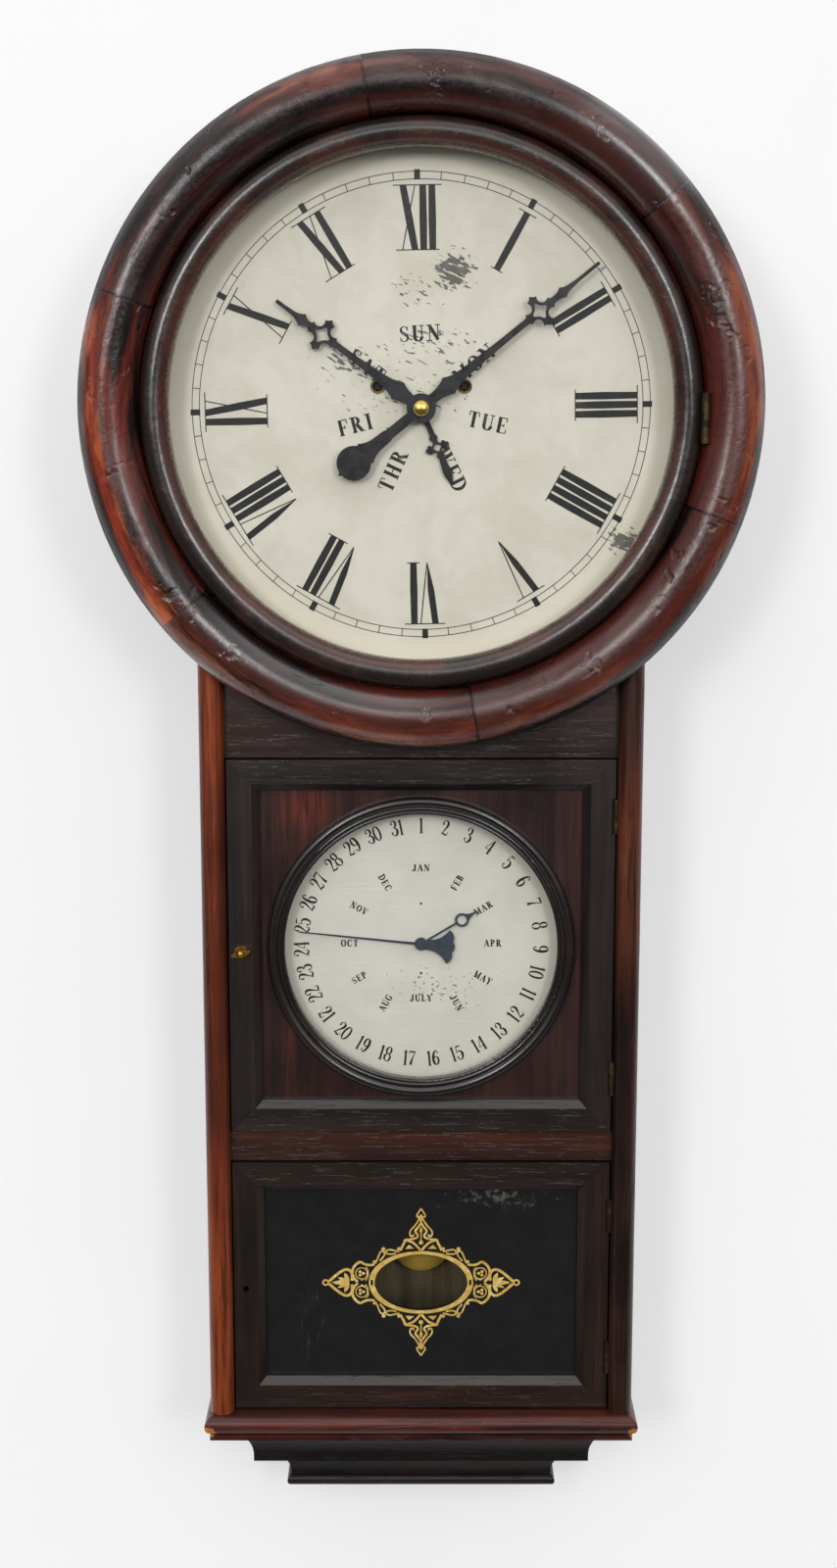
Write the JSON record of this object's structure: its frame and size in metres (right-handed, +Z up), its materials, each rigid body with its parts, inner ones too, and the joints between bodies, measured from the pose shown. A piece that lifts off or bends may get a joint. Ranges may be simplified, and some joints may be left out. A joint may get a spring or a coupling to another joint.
{
  "type": "regulator clock",
  "caption": "Wall-hung spring-driven regulator clock with round veneered head, day-of-week dial, calendar in the upper door, pendulum case below and stepped moulded base.",
  "frame": {"origin": "centre of the hanger hole on the wall plane", "axes": "+X to the clock's right as seen from the front, +Y into the wall, +Z up"},
  "size_m": [0.414, 0.1262, 0.935],
  "materials": {
    "rosewood": "gloss",
    "red_veneer": "gloss",
    "ebonised": "satin",
    "carcass": "matte",
    "dial_paint": "satin",
    "silvered": "matte",
    "brass": "satin",
    "aged_brass": "matte",
    "blued_steel": "satin",
    "iron": "matte",
    "clear_glass": "gloss",
    "black_glass": "gloss"
  },
  "bodies": {
    "case": {"backboard": "carcass", "side_panel_left": "red_veneer", "side_panel_right": "red_veneer", "pilaster_left": "red_veneer", "pilaster_right": "red_veneer", "head_drum": "carcass", "head_ring": "rosewood", "dial_board": "carcass", "top_rail": "rosewood", "mid_rail": "rosewood", "bottom_board": "carcass", "base_half_round": "rosewood", "base_upper_cove": "ebonised", "base_lower_cove": "ebonised", "hanger_plate": "iron", "dial_plate": "dial_paint", "dial_screws": "brass", "winding_grommets": "brass", "calendar_board": "carcass", "calendar_dial": "silvered", "case_hinge_leaves": "aged_brass", "hinge_pins": "aged_brass", "movement_front_plate": "brass", "movement_back_plate": "brass", "movement_posts": "brass", "mainsprings": "blued_steel", "suspension_cock": "brass"},
    "bezel": {"dial_bezel": "ebonised", "dial_glass": "clear_glass", "bezel_hinge_leaf": "aged_brass"},
    "upper_door": {"upper_door_frame": "ebonised", "upper_door_panel": "rosewood", "calendar_bezel": "ebonised", "calendar_glass": "clear_glass", "upper_door_hinge_leaves": "aged_brass"},
    "latch": {"door_latch": "brass"},
    "lower_door": {"lower_door_frame": "ebonised", "tablet_glass": "black_glass", "tablet_beads": "carcass", "lower_door_hinge_leaves": "aged_brass"},
    "minute_train": {"minute_hand": "blued_steel", "hand_nut": "brass", "centre_arbor": "brass"},
    "hour_train": {"hour_hand": "blued_steel", "hour_wheel": "brass"},
    "minute_wheel": {"minute_wheel": "brass"},
    "day_train": {"day_hand": "blued_steel", "day_star_wheel": "brass"},
    "great_left": {"great_wheel_left": "brass"},
    "great_right": {"great_wheel_right": "brass"},
    "third": {"third_wheel": "brass"},
    "escape": {"escape_wheel": "brass"},
    "pendulum": {"pendulum_rod": "brass", "pendulum_bob": "brass", "verge_crutch": "blued_steel"},
    "rating": {"rating_nut": "brass"},
    "date_train": {"date_hand": "blued_steel", "date_wheel": "brass"},
    "month_train": {"month_hand": "blued_steel", "month_wheel": "brass"}
  },
  "joints": [
    {"name": "bezel_hinge", "type": "hinge", "parent": "case", "child": "bezel", "pos_m": [0.1701, -0.1186, -0.156], "axis": [0, 0, 1], "range_deg": [0, 105]},
    {"name": "upper_door_hinge", "type": "hinge", "parent": "case", "child": "upper_door", "pos_m": [0.123, -0.0949, -0.489], "axis": [0, 0, 1], "range_deg": [0, 100]},
    {"name": "latch_turn", "type": "hinge", "parent": "upper_door", "child": "latch", "pos_m": [-0.11475, -0.0943, -0.491], "axis": [0, 1, 0], "range_deg": [0, 90]},
    {"name": "lower_door_hinge", "type": "hinge", "parent": "case", "child": "lower_door", "pos_m": [0.123, -0.0949, -0.717], "axis": [0, 0, 1], "range_deg": [0, 100]},
    {"name": "minute_turn", "type": "hinge", "parent": "case", "child": "minute_train", "pos_m": [0, -0.0929, -0.15], "axis": [0, 1, 0], "continuous": true},
    {"name": "hour_turn", "type": "hinge", "parent": "case", "child": "hour_train", "pos_m": [0, -0.0901, -0.15], "axis": [0, 1, 0], "continuous": true},
    {"name": "minute_wheel_turn", "type": "hinge", "parent": "case", "child": "minute_wheel", "pos_m": [0, -0.0701, -0.162], "axis": [0, 1, 0], "continuous": true},
    {"name": "great_left_turn", "type": "hinge", "parent": "case", "child": "great_left", "pos_m": [-0.0266, -0.0418, -0.1368], "axis": [0, 1, 0], "continuous": true},
    {"name": "great_right_turn", "type": "hinge", "parent": "case", "child": "great_right", "pos_m": [0.0266, -0.0448, -0.1368], "axis": [0, 1, 0], "continuous": true},
    {"name": "third_turn", "type": "hinge", "parent": "case", "child": "third", "pos_m": [0, -0.0494, -0.1228], "axis": [0, 1, 0], "continuous": true},
    {"name": "escape_turn", "type": "hinge", "parent": "case", "child": "escape", "pos_m": [0, -0.0416, -0.1024], "axis": [0, 1, 0], "continuous": true},
    {"name": "day_turn", "type": "hinge", "parent": "case", "child": "day_train", "pos_m": [0, -0.0873, -0.15], "axis": [0, 1, 0], "continuous": true},
    {"name": "pendulum_swing", "type": "hinge", "parent": "case", "child": "pendulum", "pos_m": [0, -0.02688, -0.082], "axis": [0, 1, 0], "range_deg": [-3, 3]},
    {"name": "rating_turn", "type": "hinge", "parent": "pendulum", "child": "rating", "pos_m": [0, -0.02688, -0.68185], "axis": [0, 0, 1], "continuous": true},
    {"name": "date_turn", "type": "hinge", "parent": "case", "child": "date_train", "pos_m": [0, -0.079, -0.49], "axis": [0, 1, 0], "continuous": true},
    {"name": "month_turn", "type": "hinge", "parent": "case", "child": "month_train", "pos_m": [0, -0.0775, -0.49], "axis": [0, 1, 0], "continuous": true}
  ],
  "couplings": [
    {"joint": "hour_turn", "follows": "minute_turn", "ratio": 0.083333},
    {"joint": "minute_wheel_turn", "follows": "minute_turn", "ratio": -0.33333},
    {"joint": "great_left_turn", "follows": "minute_turn", "ratio": -0.083333},
    {"joint": "great_right_turn", "follows": "minute_turn", "ratio": -0.083333},
    {"joint": "third_turn", "follows": "minute_turn", "ratio": -7.5},
    {"joint": "escape_turn", "follows": "minute_turn", "ratio": 56.25}
  ]
}
